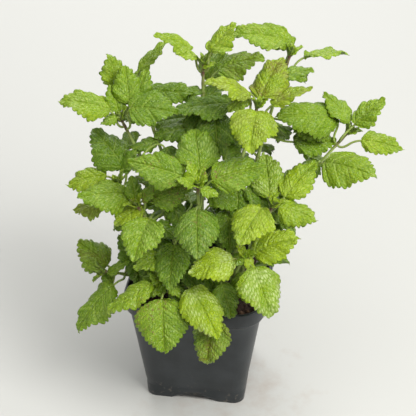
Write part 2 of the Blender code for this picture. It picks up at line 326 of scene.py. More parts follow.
# Crumbs: small uneven balls of six sides and four rings
spot = chance.uniform(-1, 1, (crumb_count, 2)) * crumb_reach
size = chance.uniform(*crumb_size, crumb_count) * chance.choice([1, 1, 1, 1.7], crumb_count)
a, b = np.meshgrid(np.linspace(0, math.tau, 7)[:-1], np.linspace(-1, 1, 4), indexing="ij")
ball = np.stack([np.cos(a) * np.sqrt(1.02 - b ** 2), np.sin(a) * np.sqrt(1.02 - b ** 2), b], -1)
ball = ball.transpose(1, 0, 2).reshape(-1, 3)
knobs = ball[None] * size[:, None, None] * chance.uniform(0.6, 1.3, (crumb_count, len(ball), 1))
knobs *= chance.uniform(0.6, 1.3, (crumb_count, 1, 3))
ground = lumps(spot[:, 0], spot[:, 1], lump_sizes, 3)
ground = soil_z + np.clip(ground, -lump_limit, lump_limit) - crown
knobs += (np.column_stack([spot, ground]) + pot_middle)[:, None]
quads = (ring_quads(4, 6)[None] + np.arange(crumb_count)[:, None, None] * len(ball)).reshape(-1, 4)
caps = [cap for i in range(crumb_count) for cap in end_caps(4, 6, len(ball) * i)]
# Peat, fibre, bark and perlite
kind = chance.choice([0.0, 0.35, 0.6, 1.0], crumb_count, p=[0.55, 0.3, 0.12, 0.03])
kind = np.repeat(kind, len(ball))
crumbs = new_piece("soil_crumbs", knobs.reshape(-1, 3), quads, caps, {"kind": kind})


def reading(layer):
    """A mesh layer's number."""
    node = tree.nodes.new("ShaderNodeAttribute")
    node.attribute_name = layer
    return node.outputs["Fac"]


soil_mix, shader, tree = start_material("soil_mix")
clods = cloudy(420.0, 6.0)
peat = ramp(clods, (0.35, (0.018, 0.009, 0.006)), (0.68, (0.12, 0.060, 0.036)))
scraps = ramp(reading("kind"), (0.0, (0.025, 0.012, 0.008)), (0.4, (0.11, 0.050, 0.028)),
              (0.65, (0.22, 0.13, 0.07)), (1.0, (0.62, 0.58, 0.50)))
feed(shader.inputs["Base Color"], colour_mix(0.55, peat, scraps))
shader.inputs["Roughness"].default_value = 0.85
relief(clods, 0.8, 0.0008)
for piece in (soil, crumbs):
    piece.data.materials.append(soil_mix)
    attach(piece, "root")
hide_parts("soil")

# ---------------------------------------------------------------------------------------------
# Leaves: broad oval blades with blunt forward teeth, puckered between a net of sunk veins, each
# on a thin channelled stalk from a joint of its shoot. Blade, stalk and midrib are thin closed
# skins along the solid's own midrib; the blade is worked out flat first and then laid along it.
# ---------------------------------------------------------------------------------------------
# Where the rings of a leaf's solid stand along its blade, and metres of leaf to a unit of its map
outline_knots = np.array([0.0, 0.07, 0.22, 0.42, 0.62, 0.82, 0.94, 1.0])
uv_size = 0.05
tooth_width, tooth_depth = 0.0026, 0.0016
blade_thickness = 0.00030
hidden_start = 0.004                 # a shoot's skin starts this far up its solid, inside the soil


def node_points(name):
    """The corners of a CAD node with doubles merged, and its triangles as numbers of them."""
    mesh = nodes[name].data
    points = np.zeros(len(mesh.vertices) * 3)
    mesh.vertices.foreach_get("co", points)
    mesh.calc_loop_triangles()
    faces = np.zeros(len(mesh.loop_triangles) * 3, np.int32)
    mesh.loop_triangles.foreach_get("vertices", faces)
    _, first, number = np.unique(np.round(points.reshape(-1, 3) / 1e-6).astype(np.int64), axis=0,
                                 return_index=True, return_inverse=True)
    return points.reshape(-1, 3)[first], number.reshape(-1)[faces].reshape(-1, 3)


def unit(vectors):
    """Each vector divided by its length."""
    return vectors / np.maximum(np.linalg.norm(vectors, axis=-1, keepdims=True), 1e-12)


def smooth_curve(knots, values, at):
    """A natural cubic spline: pieces of third degree that meet with equal slope and curvature.
    Past either end it goes on straight."""
    h = np.diff(knots)
    n = len(knots)
    system = np.zeros((n, n))
    right = np.zeros((n, values.shape[1]))
    system[0, 0] = system[-1, -1] = 1
    for i in range(1, n - 1):
        system[i, i - 1:i + 2] = h[i - 1], 2 * (h[i - 1] + h[i]), h[i]
        right[i] = 6 * ((values[i + 1] - values[i]) / h[i] - (values[i] - values[i - 1]) / h[i - 1])
    curve = np.linalg.solve(system, right)
    at = np.asarray(at, float)
    inside = np.clip(at, knots[0], knots[-1])
    i = np.clip(np.searchsorted(knots, inside, side="right") - 1, 0, n - 2)
    left, ahead = (inside - knots[i])[..., None], (knots[i + 1] - inside)[..., None]
    step = h[i][..., None]
    result = (curve[i] * ahead ** 3 + curve[i + 1] * left ** 3) / (6 * step)
    result += (values[i] / step - curve[i] * step / 6) * ahead
    result += (values[i + 1] / step - curve[i + 1] * step / 6) * left
    past = (at - inside)[..., None]
    first = (values[1] - values[0]) / h[0] - h[0] * (2 * curve[0] + curve[1]) / 6
    last = (values[-1] - values[-2]) / h[-1] + h[-1] * (2 * curve[-1] + curve[-2]) / 6
    return result + np.where(at[..., None] < knots[0], first, last) * past


def stem_line(name):
    """The middle line of a stem solid: its corners sorted along the stem and averaged ring by
    ring. A new ring starts where two neighbours in that order are over ring_gap apart."""
    ring_gap = 0.0015
    points, _ = node_points(name)
    low, high = points[points[:, 2].argmin()], points[points[:, 2].argmax()]
    along = (points - low) @ unit(high - low)
    order = np.argsort(along)
    splits = np.nonzero(np.diff(along[order]) > ring_gap)[0] + 1
    return np.array([points[group].mean(0) for group in np.split(order, splits)])


def tube(path, radius, sides, lobes=0.0):
    """A round tube along a path. The ring is turned the least from one point to the next, and
    lobes pushes four ridges out of it. Returns rings of points, shape path by sides by 3."""
    ahead = unit(np.gradient(path, axis=0))
    across = np.zeros_like(path)
    guess = np.cross(ahead[0], [0.0, 1.0, 0.0])
    if np.linalg.norm(guess) < 0.1:
        guess = np.cross(ahead[0], [1.0, 0.0, 0.0])
    for i in range(len(path)):
        guess = guess - ahead[i] * (guess @ ahead[i])
        guess = guess / np.linalg.norm(guess)
        across[i] = guess
    up = np.cross(ahead, across)
    turn = np.arange(sides) / sides * math.tau
    out = 1 + lobes * np.cos(4 * turn)
    return (path[:, None] + radius[:, None, None] * (across[:, None] * (np.cos(turn) * out)[None, :, None]
                                                     + up[:, None] * (np.sin(turn) * out)[None, :, None]))


shoots = sorted(name[5:] for name in nodes if name.startswith("stem_"))
leaf_names = sorted(name for name in nodes if name.startswith("leaf_"))
# The middle line of each shoot, which the leaf stalks start from, and where they do
stem_path, stem_length, joints_on = {}, {}, {shoot: [] for shoot in shoots}
for shoot in shoots:
    line = stem_line("stem_" + shoot)
    length = np.concatenate([[0], np.cumsum(np.linalg.norm(np.diff(line, axis=0), axis=1))])
    stem_length[shoot] = length[-1]
    stem_path[shoot] = smooth_curve(length, line, np.linspace(hidden_start, length[-1], 110))


def leaf_rings(name):
    """The rings of five corners that a leaf solid is made of, from the stem to the tip. The tip
    is the one corner from which every step along the edges reaches exactly five new corners.
    Returns the midrib's points, the sideways directions, the half widths and the tip."""
    points, faces = node_points(name)
    joined = np.zeros((len(points), len(points)), bool)
    for a, b in ((0, 1), (1, 2), (2, 0)):
        joined[faces[:, a], faces[:, b]] = joined[faces[:, b], faces[:, a]] = True
    for start in np.nonzero(joined.sum(1) == 5)[0]:
        seen = np.zeros(len(points), bool)
        seen[start] = True
        steps, reached = [], seen.copy()
        while True:
            reached = joined[reached].any(0) & ~seen
            if not reached.any():
                break
            steps.append(np.nonzero(reached)[0])
            seen |= reached
        if all(len(step) == 5 for step in steps):
            break
    ribs, sides, halves = [], [], []
    for step in steps[::-1]:
        ring = points[step]
        apart = np.linalg.norm(ring[:, None] - ring[None], axis=2)
        one, two = np.unravel_index(apart.argmax(), apart.shape)
        rest = [i for i in range(5) if i not in (one, two)]
        spans = [apart[rest[1], rest[2]], apart[rest[0], rest[2]], apart[rest[0], rest[1]]]
        top = rest[int(np.argmin(spans))]
        keel = ring[[i for i in rest if i != top]].mean(0)
        ribs.append(ring[top])
        up = ring[top] - keel
        side = ring[one] - ring[two]
        halves.append(apart[one, two] / 2)
        sides.append((side, up))
    ribs, halves = np.array(ribs), np.array(halves)
    ahead = unit(np.gradient(np.vstack([ribs, points[start]]), axis=0))[:-1]
    left = np.array([side if np.cross(way, side) @ up > 0 else -side
                     for way, (side, up) in zip(ahead, sides)])
    return ribs, unit(left), halves, points[start]


def blade_plan(length, half, teeth, depth, rows, columns):
    """A flat blade in metres. Its margin is sampled evenly by length from the stalk to the tip
    and pushed out into teeth that lean forward. Every row runs from its foot on the midrib to
    the margin along the line of a side vein. Half the width at share s of the length is
    sin(pi s^0.68)^0.86, less a tenth at the tip. Returns place along, place across, nearness of
    a side vein, and both parameters."""
    s = np.linspace(0, 1, 500) ** 1.4
    y = half * np.sin(np.pi * np.clip(s, 1e-4, 0.9999) ** 0.68) ** 0.86 * (1 - 0.10 * s)
    y[-1] = 0.0
    run = np.concatenate([[0], np.cumsum(np.hypot(np.diff(s) * length, np.diff(y)))])
    q = np.linspace(0, 1, rows)
    s_edge, y_edge = np.interp(q, run / run[-1], s), np.interp(q, run / run[-1], y)
    y_edge = np.maximum(y_edge, 0.00025)
    # A side vein leaves the midrib 0.8 of the half width behind where it meets the margin
    foot = s_edge - 0.80 * y_edge / length
    foot = 0.5 * (foot + np.sqrt(foot ** 2 + 0.0016)) - 0.02
    foot = np.maximum.accumulate(np.clip(foot, 0, 0.985)) * 0.985 + 0.012 * q
    lean_s, lean_y = np.gradient(s_edge * length), np.gradient(y_edge)
    norm = np.maximum(np.hypot(lean_s, lean_y), 1e-9)
    phase = (q * teeth + 0.15) % 1
    bump = np.sin(np.pi * phase ** 0.80) ** 0.62 - 0.35
    bump = bump * depth * np.clip(np.sin(np.pi * np.clip(q, 0, 1) ** 0.8) * 2.6, 0.15, 1)
    s_out = s_edge * length - bump * lean_y / norm + bump * 0.40
    y_out = y_edge + bump * lean_s / norm
    v = np.linspace(-1, 1, columns)
    side = np.abs(v)[None, :]
    grow = side ** 5
    along = foot[:, None] * length + (s_edge - foot)[:, None] * length * side ** 1.12
    along = along + (s_out - s_edge * length)[:, None] * grow
    across = (y_edge[:, None] * side + (y_out - y_edge)[:, None] * grow) * np.sign(v)[None, :]
    # A side vein runs out to every second tooth, a little out of step on the two halves
    gap = run[-1] * side * 0.8 + length * np.gradient(foot, q)[:, None] * (1 - side) * 0.8
    vein = np.zeros_like(along)
    for shift, mask in ((0.5, v[None, :] >= 0), (0.85, v[None, :] < 0)):
        for k in range(teeth // 2):
            near = np.exp(-((q[:, None] - (k + shift) * 2 / teeth) * gap / 0.00050) ** 2)
            vein = np.maximum(vein, near * mask * (1 - 0.5 * side))
    vein = np.maximum(vein, np.exp(-(across / 0.00045) ** 2))
    return along, across, vein, q[:, None] + 0 * side, np.broadcast_to(v[None, :], along.shape)


def flat_net(x, y, seed):
    """Puckers between the smallest veins: distance to the nearest and second nearest of a
    jittered grid of points one apart. 0 on the net, 1 at a pucker's top."""
    draw = np.random.default_rng(seed)
    jitter = draw.uniform(0.12, 0.88, (64, 64, 2))
    gx, gy = np.floor(x).astype(int), np.floor(y).astype(int)
    best = np.full(x.shape, 9.0)
    second = np.full(x.shape, 9.0)
    for dx in (-1, 0, 1):
        for dy in (-1, 0, 1):
            cell = jitter[(gx + dx) % 64, (gy + dy) % 64]
            gap = np.hypot(gx + dx + cell[..., 0] - x, gy + dy + cell[..., 1] - y)
            second = np.minimum(second, np.maximum(best, gap))
            best = np.minimum(best, gap)
    return np.clip((second - best) * 1.9, 0, 1)


def grow_leaf(ribs, left, length, half, root, seed, light_and_age, gloss=0.5, fold=0.42, curl=0.55,
              rows=121, columns=63, young=0.0, bronze=0.0, stalk=0.00075):
    """One leaf as points, quads and caps: ribs(s) gives the midrib at shares of the blade's
    length, left the sideways direction, and root the points of the stalk up to the blade.
    Height over the midrib is a rise away from it less a curl towards the margin, plus puckers."""
    draw = np.random.default_rng(seed)
    edge = 2.35 * half + 0.9 * length
    teeth = 2 * int(np.clip(round(edge / 4 / tooth_width), 3, 8))
    along, across, vein, q, v = blade_plan(length, half, teeth, tooth_depth * min(1.0, half / 0.011),
                                           rows, columns)
    side = np.abs(v)
    # Puckers lie in rows between the side veins, two or three to a vein's spacing
    reach = np.sign(v) * (3 + np.abs(across) / 0.0019)
    net = flat_net(q * teeth * 1.25 + 5, reach + 30, seed)
    fine = flat_net(along / 0.0011 + 3, across / 0.0011 + 30, seed + 1)
    fade = np.clip(np.minimum(q * 8, (1 - q) * 8), 0, 1) * np.clip((1 - side) * 7, 0, 1)
    scale = min(1.0, half / 0.012)
    puff = (0.00075 * (1 - vein) + 0.00045 * net + 0.00012 * fine) * fade * scale
    crease = -0.00035 * np.exp(-(across / 0.0009) ** 2) * scale
    wave = draw.uniform(0, math.tau, 4)
    ruffle = (0.0016 * np.sin(q * math.tau * 2.2 + wave[0]) + 0.0011 * np.sin(q * math.tau * 4.3 + wave[1]))
    other = (0.0016 * np.sin(q * math.tau * 1.9 + wave[2]) + 0.0011 * np.sin(q * math.tau * 4.7 + wave[3]))
    ruffle = np.where(v > 0, ruffle, other) * side ** 2 * scale
    lift = fold + draw.uniform(-0.14, 0.10) + np.where(v > 0, 1, -1) * draw.uniform(-0.10, 0.10)
    rise = np.abs(across) * lift - across ** 2 / half * (curl + draw.uniform(-0.18, 0.22))
    height = rise + puff + crease + ruffle
    s = along / length
    middle = ribs(s)
    ahead = unit(ribs(s + 0.02) - ribs(s - 0.02))
    twist = math.radians(draw.uniform(-16, 16)) * (s - 0.4)
    level = unit(left - ahead * (ahead @ left)[..., None])
    normal = np.cross(ahead, level)
    level_t = level * np.cos(twist)[..., None] + normal * np.sin(twist)[..., None]
    normal = np.cross(ahead, level_t)
    top = middle + level_t * across[..., None] + normal * height[..., None]
    thin = blade_thickness * np.clip((1 - side) * 6, 0.25, 1) + 0.8 * puff
    under = top - normal * thin[..., None]

    def looped(upper, lower=None):
        """A row's values over the top and back below, where every third column will do."""
        lower = upper if lower is None else lower
        return np.concatenate([upper, lower[:, -4:0:-3]], axis=1)[:, ::-1]

    loop = looped(top, under)
    around = loop.shape[1]
    layers = {"vein": looped(vein), "net": looped(net), "under": looped(0 * side, 0 * side + 1),
              "stalk": np.zeros((rows, around))}
    layers = {layer: values.reshape(-1) for layer, values in layers.items()}
    uv = np.stack([looped(along), looped(across)], -1).reshape(-1, 2) / uv_size + 0.5
    # Stalk and the raised midrib under the blade, one tapering tube
    steps, sides = 26, 10
    inner = np.linspace(0.02, 0.86, steps)
    mid = ribs(inner)
    way = unit(ribs(inner + 0.02) - ribs(inner - 0.02))
    flat = unit(left - way * (way @ left)[:, None])
    sunk = mid - np.cross(way, flat) * (0.00062 + 0.00015 * np.linspace(1, 0, steps))[:, None]
    path = np.concatenate([root[:-1], sunk])
    width = np.concatenate([np.linspace(stalk * 1.15, stalk, len(root) - 1),
                            np.linspace(stalk * 0.9, 0.00018, steps)])
    skin = tube(path, width, sides)
    first, stations = rows * around, len(path)
    blade_part = np.repeat(np.arange(stations) >= len(root) - 1, sides).astype(float)
    for layer, value in (("vein", 1.0), ("net", 0.0), ("under", blade_part), ("stalk", 1 - 0.7 * blade_part)):
        layers[layer] = np.concatenate([layers[layer], value + 0 * blade_part])
    uv = np.concatenate([uv, np.column_stack([np.repeat(np.arange(stations) * 0.02, sides),
                                              np.tile(np.arange(sides) * 0.01, stations)])])
    freckled = draw.choice([0.0, 0.25, 0.6, 1.0], p=[0.4, 0.3, 0.2, 0.1])
    for layer, value in (("light_and_age", light_and_age), ("gloss", gloss), ("young", young), ("bronze", bronze),
                         ("freckled", freckled)):
        layers[layer] = np.full(len(uv), value)
    return (np.concatenate([loop.reshape(-1, 3), skin.reshape(-1, 3)]),
            np.concatenate([ring_quads(rows, around), ring_quads(stations, sides, first)]),
            end_caps(rows, around) + end_caps(stations, sides, first), layers, uv)


leaf_skin, shader, tree = start_material("leaf_skin")
flat_map, cells = tree.nodes.new("ShaderNodeUVMap"), tree.nodes.new("ShaderNodeTexVoronoi")
flat_map.uv_map = "flat"
cells.feature = "DISTANCE_TO_EDGE"
cells.inputs["Scale"].default_value = 34.0
feed(cells.inputs["Vector"], flat_map.outputs["UV"])
threads = spread(cells.outputs["Distance"], 0.0, 0.16, 1.0, 0.0)
mottle, patch = cloudy(90.0, 4.0), cloudy(34.0)

# Green by the leaf's painted light and age: dark painted shade for leaves in the shade of others,
# yellow-green for young leaves in full light; lighter in random patches, with painted light on the puckers'
# tops and painted shade in their hollows
light_and_age_here = arithmetic("ADD", reading("light_and_age"), arithmetic(
    "MULTIPLY", arithmetic("SUBTRACT", patch, 0.5), 0.40), clamp=True)
# Painted light on top of the puckers and painted shade in the hollows between them, read from the net layer
light_and_age_here = arithmetic("ADD", light_and_age_here, arithmetic(
    "MULTIPLY", arithmetic("SUBTRACT", reading("net"), 0.70), 0.26), clamp=True)
green = ramp(light_and_age_here, (0.0, (0.060, 0.138, 0.001)), (0.30, (0.118, 0.230, 0.001)),
             (0.55, (0.190, 0.318, 0.002)), (0.78, (0.29, 0.41, 0.003)), (1.0, (0.40, 0.54, 0.006)))
vein_mask = arithmetic("MAXIMUM", arithmetic("MULTIPLY", reading("vein"), 0.8),
                       arithmetic("MULTIPLY", threads, 0.35))
pale = colour_mix(0.6, green, (0.46, 0.58, 0.10))
skin = colour_mix(arithmetic("MULTIPLY", vein_mask, 0.95), green, pale)
skin = colour_mix(above(mottle, 0.40, 0.6), skin, (0.045, 0.125, 0.001))
# Bronze-brown lies in the hollows between the puckers, in patches
hollow = arithmetic("SUBTRACT", 1.25, reading("net"))
brown_patch = above(mottle, 0.36, 4.0)
brown = arithmetic("MULTIPLY", arithmetic("MULTIPLY", hollow, brown_patch), reading("bronze"), clamp=True)
skin = colour_mix(brown, skin, (0.20, 0.125, 0.022))
# Painted sheen: pale highlight flecks on top of the puckers, strongest on young leaves in full light
painted_sheen = arithmetic("MULTIPLY", above(cloudy(75.0, 3.0), 0.46, 6.0), arithmetic("POWER", reading("net"), 1.5))
painted_sheen_strength = arithmetic("MULTIPLY", arithmetic("POWER", reading("gloss"), 2.0), 0.85)
skin = colour_mix(arithmetic("MULTIPLY", painted_sheen, painted_sheen_strength), skin, (0.50, 0.61, 0.24))
# Brown freckles on some leaves
spots = above(arithmetic("MULTIPLY", cloudy(520.0), arithmetic("ADD", patch, 0.5)), 0.66, 12.0)
skin = colour_mix(arithmetic("MULTIPLY", spots, reading("freckled")), skin, (0.21, 0.155, 0.040))
# Dull pale underside, and a stalk that is purple-brown on young leaves
belly = colour_mix(arithmetic("MULTIPLY", reading("vein"), 0.7), (0.19, 0.29, 0.07), (0.32, 0.40, 0.14))
skin = colour_mix(arithmetic("MULTIPLY", reading("under"), 0.8), skin, belly)
flushed = arithmetic("MULTIPLY", reading("young"), 0.7)
stalk_colour = colour_mix(flushed, (0.36, 0.48, 0.10), (0.13, 0.060, 0.040))
feed(shader.inputs["Base Color"], colour_mix(reading("stalk"), skin, stalk_colour))
dull = arithmetic("ADD", arithmetic("MULTIPLY", reading("under"), 0.25), arithmetic(
    "SUBTRACT", 0.31, arithmetic("MULTIPLY", reading("gloss"), 0.08)))
feed(shader.inputs["Roughness"], arithmetic("ADD", dull, arithmetic("MULTIPLY", mottle, 0.10)))
shader.inputs["Specular IOR Level"].default_value = 0.42
shader.inputs["Subsurface Weight"].default_value = 0.10
shader.inputs["Subsurface Radius"].default_value = (0.6, 1.0, 0.1)
shader.inputs["Subsurface Scale"].default_value = 0.001
relief(arithmetic("ADD", arithmetic("MULTIPLY", cells.outputs["Distance"], 2.0),
                  arithmetic("MULTIPLY", mottle, 0.3)), 1.0, 0.00045)

# Painted light and age of each leaf: from 0, dark painted shade for a leaf in the shade of the others, to 1
# for a young leaf in full light
light_and_age_of_leaf = {
    "a1": 0.66, "a2": 0.74, "a3": 0.38, "a4": 0.12, "b1": 0.76, "b2": 0.72, "b3": 0.68, "b4": 0.76,
    "b5": 0.22, "c1": 0.60, "c2": 0.62, "c3": 0.42, "d1": 0.48, "d2": 0.62, "d3": 0.70, "d4": 0.62,
    "e1": 0.66, "e2": 0.74, "e3": 0.76, "e4": 0.20, "f1": 0.44, "f2": 0.42, "f3": 0.48, "f4": 0.22,
    "f5": 0.30, "h1": 0.32, "h2": 0.74, "h3": 0.56, "h4": 0.80, "i1": 0.42, "i2": 0.52, "k1": 0.60,
    "k2": 0.50, "k3": 0.78, "l1": 0.44, "l2": 0.52, "l3": 0.34, "m1": 0.86, "m2": 0.84, "m3": 0.66,
    "m4": 0.42, "o1": 0.66, "o2": 0.40, "p1": 0.58, "p2": 0.38,
}

# How much painted sheen, pale highlight flecks, shows on a leaf and how glossy it is, where it isn't 0.7 of
# its light and age value
gloss_and_sheen_of_leaf = {"m1": 1.0, "m3": 1.0, "k3": 0.95, "m2": 0.45, "e3": 0.5, "e1": 0.75, "e2": 0.5,
         "f4": 0.5, "f2": 0.55, "f1": 0.45, "b4": 0.35, "b2": 0.25, "o1": 0.6, "h3": 0.45,
         "d4": 0.5, "c3": 0.5, "k1": 0.45, "i2": 0.5}

# How far bronze-brown shows between the puckers of a leaf
bronzed = {"b1": 0.25, "b2": 0.60, "b3": 0.45, "b4": 0.25, "m4": 0.45, "h4": 0.30, "l1": 0.30, "a3": 0.25}

# Share of the solid's width that the blade takes, where it isn't 0.95
slim = {"a1": 0.84, "b3": 0.70, "c1": 0.84, "d3": 0.78, "d4": 0.90, "m3": 0.88, "o1": 0.88, "k1": 0.90}

for number, name in enumerate(leaf_names):
    ribs, left, halves, tip = leaf_rings(name)
    blade = np.vstack([ribs[3:], tip])
    length = np.linalg.norm(np.diff(blade, axis=0), axis=1).sum()
    half = halves[3:].max() * slim.get(name[5:], 0.95)
    sideways = unit(left[4:].mean(0))

    def midrib(at, blade=blade):
        """The solid's own midrib at a share of the blade's length, as a smooth curve."""
        return smooth_curve(outline_knots, blade, at)

    path = stem_path[name[5]]
    start = path[np.linalg.norm(path - ribs[0], axis=1).argmin()]
    joints_on[name[5]].append(start)
    upright = unit(np.cross(unit(np.gradient(ribs, axis=0)), left))
    stalk_line = np.vstack([start + (ribs[0] - start) * 0.3, (ribs - 0.0003 * upright)[:4]])
    reach = np.concatenate([[0], np.cumsum(np.linalg.norm(np.diff(stalk_line, axis=0), axis=1))])
    stalk_line = smooth_curve(reach, stalk_line, np.linspace(0, reach[-1], 22))
    light_and_age = light_and_age_of_leaf.get(name[5:], 0.5)
    grown = grow_leaf(midrib, sideways, length, half, stalk_line, 100 + number, light_and_age,
                      gloss=gloss_and_sheen_of_leaf.get(name[5:], light_and_age * 0.7), young=np.clip((light_and_age - 0.55) * 2, 0, 1),
                      bronze=bronzed.get(name[5:], 0.0))
    leaf = new_piece(name + "_blade", *grown)
    leaf.data.materials.append(leaf_skin)
    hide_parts(name)
    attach(leaf, "root")

# ---------------------------------------------------------------------------------------------
# Small leaves: the young, shaded and far-side leaves that have no solid of their own, and at each
# tip two or three pairs of folded leaflets crosswise round the growing point. Those of one shoot
# are one piece, and each hangs by its own stalk from the nearest point of the shoot.
# ---------------------------------------------------------------------------------------------


def joined_leaves(name, grown):
    """Several leaves as one piece: their points, faces and layers end to end."""
    points, quads, caps, uv, first = [], [], [], [], 0
    layers = {}
    for leaf_points, leaf_quads, leaf_caps, leaf_layers, leaf_uv in grown:
        points.append(leaf_points)
        quads.append(leaf_quads + first)
        caps += [cap + first for cap in leaf_caps]
        uv.append(leaf_uv)
        for layer, values in leaf_layers.items():
            layers.setdefault(layer, []).append(values)
        first += len(leaf_points)
    return new_piece(name, np.concatenate(points), np.concatenate(quads), caps,
                     {layer: np.concatenate(values) for layer, values in layers.items()},
                     np.concatenate(uv))


# Shoot, where the blade starts (millimetres from the pot's axis and up from the soil), azimuth, pitch and
# roll in degrees, length and width in millimetres, and light and age, whose low values are painted shade for
# leaves deep in the plant
small_leaves = [
    ("a", -3, 28, 157, 10, 20, 0, 10, 7, 0.70), ("a", -7, 28, 164, -160, 15, -20, 15, 10, 0.72),
    ("c", 55, 59, 163, -175, 30, -25, 26, 17, 0.62), ("b", 49, 24, 156, 10, 10, 20, 24, 13, 0.45),
    ("d", 97, 35, 119, 145, 30, 0, 28, 20, 0.58), ("e", 55, -14, 78, -5, -15, 25, 28, 21, 0.66),
    ("f", 0, -38, 105, -155, 30, -15, 13, 10, 0.58), ("f", 6, -38, 103, -15, -15, 15, 13, 10, 0.58),
    ("f", 2, -34, 105, 145, 60, 0, 16, 12, 0.60), ("f", 4, -34, 104, 60, 60, 0, 12, 9, 0.60),
    ("i", -37, -21, 75, -150, -30, -25, 24, 17, 0.80), ("i", -41, -24, 81, 120, 60, 0, 17, 13, 0.40),
    ("i", -36, -26, 82, 10, 45, 20, 16, 13, 0.40), ("i", -27, -29, 66, -10, -30, 10, 20, 15, 0.25),
    ("l", -46, -25, 30, 160, 65, 0, 22, 17, 0.15), ("k", -20, -43, 48, -150, -10, -20, 21, 17, 0.66),
    ("i", -24, -26, 55, -90, -55, 0, 22, 18, 0.25), ("k", -19, -49, 31, 165, 45, 0, 18, 14, 0.55),
    ("k", -13, -53, 34, -20, -45, 0, 12, 9, 0.55), ("k", -14, -49, 36, 30, 55, 0, 11, 8, 0.55),
    ("l", -61, -31, 23, 0, 35, 20, 20, 11, 0.50), ("l", -59, -31, 14, 150, 40, 0, 13, 10, 0.35),
    ("m", 20, -39, 28, -55, -55, 0, 25, 21, 0.28), ("m", 33, -29, 31, -75, -45, 0, 20, 17, 0.50),
    ("m", 34, -39, 54, 160, 60, 0, 11, 9, 0.80), ("m", 37, -40, 53, -40, -55, 0, 12, 9, 0.80),
    ("e", 25, -1, 82, -80, -40, 0, 24, 19, 0.22), ("e", 18, -2, 63, -100, -65, 0, 26, 20, 0.18),
    ("f", 5, -22, 55, -135, -55, 0, 28, 22, 0.12), ("o", -58, 3, 128, -150, -15, -20, 12, 9, 0.50),
    ("o", -58, 9, 129, 130, 55, -10, 20, 14, 0.45), ("o", -51, 12, 134, 110, 55, 0, 27, 21, 0.48),
    ("o", -47, 15, 135, 60, 55, 10, 24, 17, 0.48), ("p", -47, 29, 138, -155, 30, -25, 21, 17, 0.48),
    ("p", -63, 29, 138, 145, 70, -10, 24, 19, 0.66), ("a", -2, 28, 131, 45, 30, 15, 20, 15, 0.35),
    ("p", -20, 27, 135, 10, 10, 20, 20, 14, 0.35), ("p", -11, 17, 116, -165, -15, -20, 26, 18, 0.20),
    ("o", -31, 9, 108, -165, -15, -20, 19, 12, 0.22), ("a", -6, 25, 127, -65, -55, 0, 28, 23, 0.10),
    ("b", 8, 21, 122, -25, -40, 10, 25, 20, 0.10), ("h", -25, 2, 108, -35, -40, 10, 23, 18, 0.15),
    ("p", -5, 11, 113, -125, -50, 0, 22, 17, 0.20), ("f", 7, -13, 85, 0, -30, 20, 25, 20, 0.33),
    ("m", 2, -34, 26, -45, -50, 0, 24, 19, 0.12), ("h", -55, -2, 88, 20, 50, 10, 21, 15, 0.30),
    ("d", 78, 22, 94, -155, -40, -20, 21, 17, 0.45),
    ("i", -10, -10, 78, -160, -15, -15, 30, 17, 0.35), ("i", -18, -13, 76, -55, -60, 0, 22, 16, 0.22),
    ("f", 11, -13, 107, -145, -65, 0, 24, 18, 0.12), ("e", 31, -3, 83, -10, -30, 15, 24, 18, 0.22),
    ("k", -18, -43, 34, -145, -35, -20, 23, 19, 0.48), ("k", -14, -44, 30, -30, -40, 0, 20, 16, 0.30),
    ("k", -7, -38, 38, -30, -50, 0, 20, 16, 0.18), ("m", 36, -37, 55, -145, -40, -10, 15, 11, 0.45),
    ("b", 31, 11, 148, -145, -30, -15, 19, 13, 0.62), ("c", 84, 35, 112, -165, 0, -20, 26, 20, 0.50),
    ("c", 50, 57, 163, 155, 20, 0, 27, 19, 0.45), ("l", -44, -22, 36, -60, -60, 0, 27, 17, 0.10),
    ("l", -36, -24, 31, -40, -55, 0, 22, 18, 0.10), ("m", 21, -27, 38, -135, -55, 0, 22, 18, 0.15),
]

